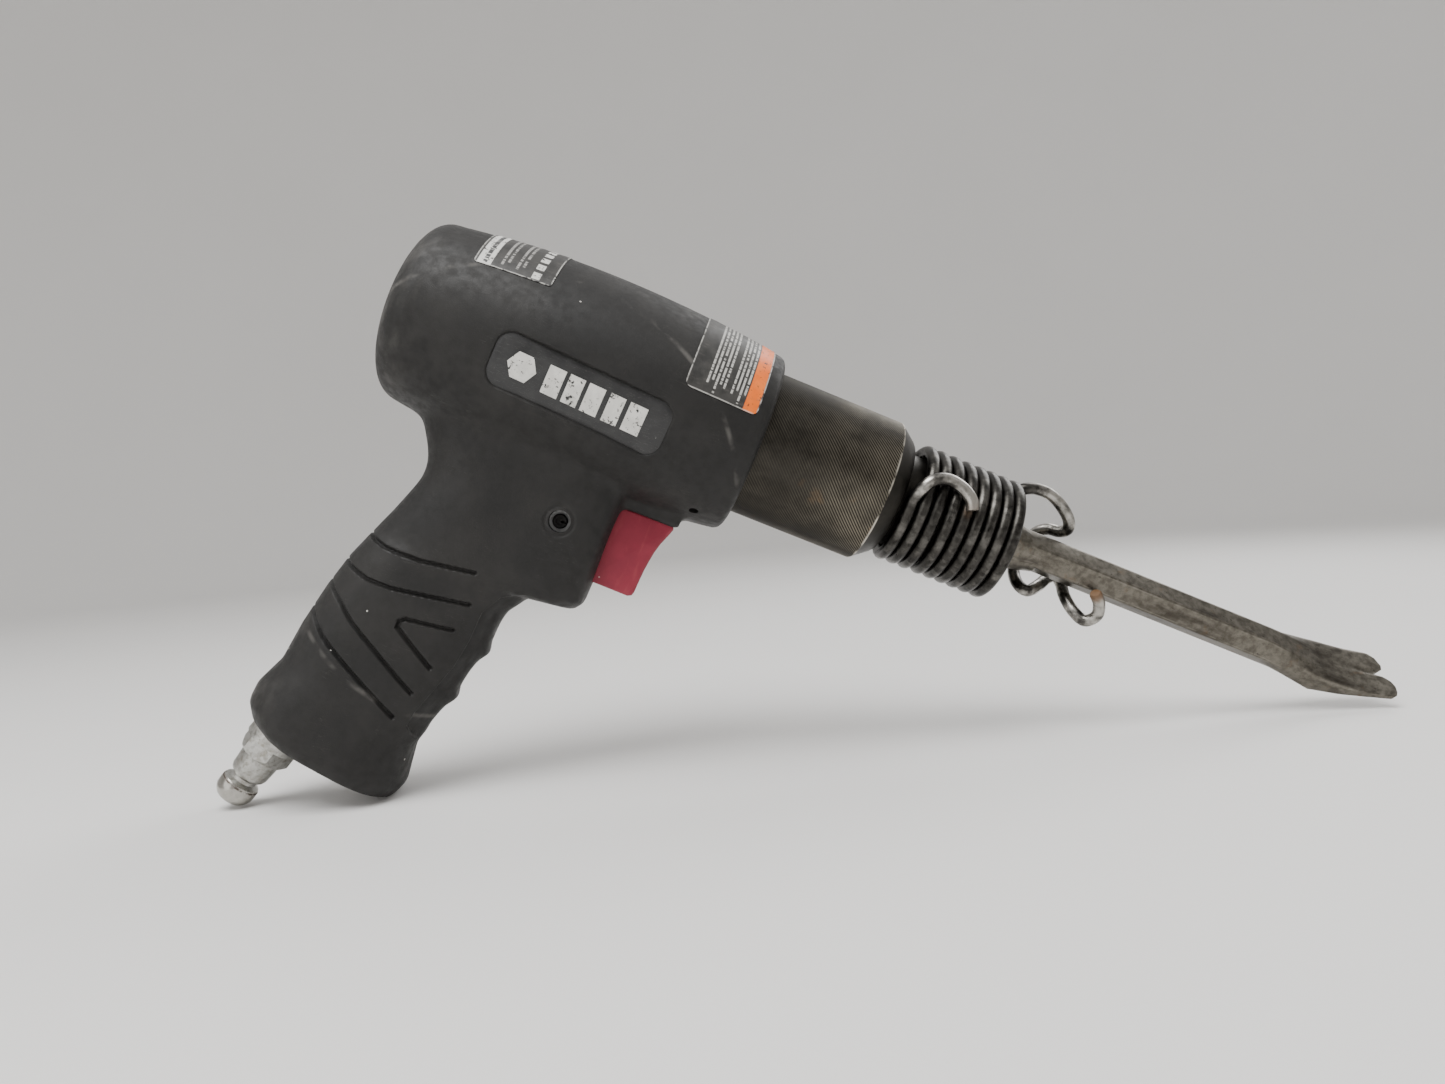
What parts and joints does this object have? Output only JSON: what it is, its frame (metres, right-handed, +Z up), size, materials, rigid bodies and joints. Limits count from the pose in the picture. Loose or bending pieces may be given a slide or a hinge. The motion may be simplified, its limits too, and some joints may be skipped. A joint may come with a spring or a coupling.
{
  "type": "pneumatic air hammer",
  "caption": "Pistol-grip air hammer with a rubber-booted body, knurled barrel, coil retainer holding a forked chisel, sliding trigger and quick-connect air plug.",
  "frame": {"origin": "centre of the bounding box's bottom face, on the surface that the tool rests on, propped on the toe of its butt and on its chisel's tip", "axes": "+X level, from the grip towards the chisel's tip; +Y level, out of the tool's left side; +Z up. The barrel axis lies in the XZ plane and points 25.7 degrees below +X"},
  "size_m": [0.3729, 0.0642, 0.1706],
  "materials": {
    "boot_rubber": "matt moulded rubber, dusty and scuffed",
    "cast_aluminium": "as-cast with machined bores",
    "blackened_steel": "knurled, blackened and worn bright at the edges",
    "spring_steel": "oiled spring wire with bright worn patches",
    "chisel_steel": "forged, stained and ground at the blade",
    "trigger_plastic": "moulded crimson plastic, slightly worn",
    "zinc_plated_steel": "mottled zinc plate with a little rust",
    "ground_steel": "ground and oiled",
    "turned_steel": "turned steel",
    "pin_steel": "rolled spring steel",
    "black_oxide_screw": "black oxide",
    "bushing_brass": "turned brass",
    "seal_rubber": "nitrile rubber",
    "screen_mesh": "fine woven wire",
    "muffler_felt": "oily grey felt",
    "badge_plastic": "glossy black inlay with plain pale marks",
    "data_film": "printed film, worn",
    "warning_film": "printed film with an orange band, worn"
  },
  "bodies": {
    "root": {"rubber_boot": "boot_rubber", "housing": "cast_aluminium", "barrel": "blackened_steel", "barrel_seal": "seal_rubber", "barrel_lock_screw": "black_oxide_screw", "chisel_bushing": "ground_steel", "valve_block": "turned_steel", "valve_cover": "turned_steel", "valve_dowel": "ground_steel", "rear_bumper": "seal_rubber", "trigger_pin": "pin_steel", "throttle_bushing": "bushing_brass", "bushing_seal": "seal_rubber", "throttle_spring": "pin_steel", "inlet_bushing": "zinc_plated_steel", "inlet_screen": "screen_mesh", "air_plug": "zinc_plated_steel", "exhaust_diffuser": "turned_steel", "muffler_pad": "muffler_felt", "badge_right": "badge_plastic", "badge_left": "badge_plastic", "data_label": "data_film", "warning_label": "warning_film"},
    "trigger": {"trigger": "trigger_plastic"},
    "throttle": {"throttle_stem": "ground_steel", "throttle_seal": "seal_rubber"},
    "cycle_valve": {"cycle_valve": "ground_steel"},
    "piston": {"piston": "ground_steel"},
    "retainer": {"retainer_spring": "spring_steel"},
    "chisel": {"chisel": "chisel_steel"}
  },
  "joints": [
    {"name": "trigger_pull", "type": "slide", "parent": "root", "child": "trigger", "axis": [-0.9011, 0, 0.4337], "range_m": [0, 0.006], "stiffness_N_per_m": 1200, "springref_m": -0.004, "deforming": ["throttle_spring"]},
    {"name": "throttle_slide", "type": "slide", "parent": "root", "child": "throttle", "axis": [-0.9011, 0, 0.4337], "range_m": [0, 0.006]},
    {"name": "cycle_valve_slide", "type": "slide", "parent": "root", "child": "cycle_valve", "axis": [0.9011, 0, -0.4337], "range_m": [0, 0.0015]},
    {"name": "piston_stroke", "type": "slide", "parent": "root", "child": "piston", "axis": [0.9011, 0, -0.4337], "range_m": [0, 0.056]},
    {"name": "retainer_turn", "type": "hinge", "parent": "root", "child": "retainer", "pos_m": [-0.01663, 0, 0.10017], "axis": [0.9011, 0, -0.4337], "range_deg": [-60, 60]},
    {"name": "chisel_slide", "type": "slide", "parent": "retainer", "child": "chisel", "axis": [0.9011, 0, -0.4337], "range_m": [0, 0.004]}
  ],
  "couplings": [
    {"joint": "throttle_slide", "follows": "trigger_pull", "ratio": 1}
  ]
}
